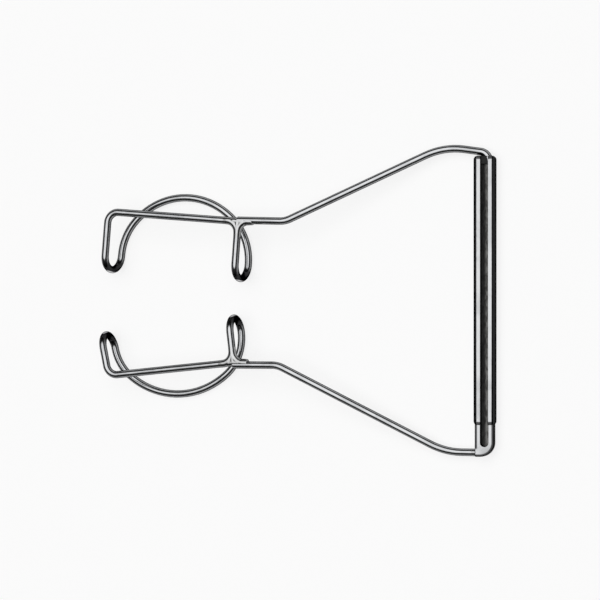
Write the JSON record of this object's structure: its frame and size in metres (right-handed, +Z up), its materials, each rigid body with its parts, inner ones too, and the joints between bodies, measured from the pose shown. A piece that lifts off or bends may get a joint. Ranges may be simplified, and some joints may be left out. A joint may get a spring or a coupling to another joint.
{
  "type": "eye speculum",
  "caption": "Wire eyelid speculum: open looped blades with lid hooks on bent wire arms, joined by a telescoping back whose grooved bar slides in a folded sheath.",
  "frame": {"origin": "centre of the bottom of the bounding box: the instrument lies flat on the arches of its blades and on a fold of its sheath, whose front leans 14 degrees away from the blades", "axes": "+X from the blades to the telescoping back, +Y from the lower half to the upper half along the slide, +Z up, away from the eye, towards the front bars"},
  "size_m": [0.0448, 0.032, 0.0038],
  "materials": {
    "polished_wire": "stainless spring wire, mirror polished",
    "folded_strip": "stainless strip, polished along its length",
    "milled_bar": "stainless bar, polished outside, with a satin milled groove",
    "silver_braze": "silver braze, dressed and polished"
  },
  "bodies": {
    "upper_half": {"sheath": "folded_strip", "sheath_end_plug": "milled_bar", "upper_arm": "polished_wire", "upper_blade_loop": "polished_wire", "upper_junction_braze": "silver_braze"},
    "lower_half": {"slide_bar": "milled_bar", "lower_arm": "polished_wire", "lower_blade_loop": "polished_wire", "lower_junction_braze": "silver_braze", "slide_socket_braze": "silver_braze"}
  },
  "joints": [
    {"name": "back_slide", "type": "slide", "parent": "upper_half", "child": "lower_half", "axis": [0, -1, 0], "range_m": [0, 0.018]}
  ]
}
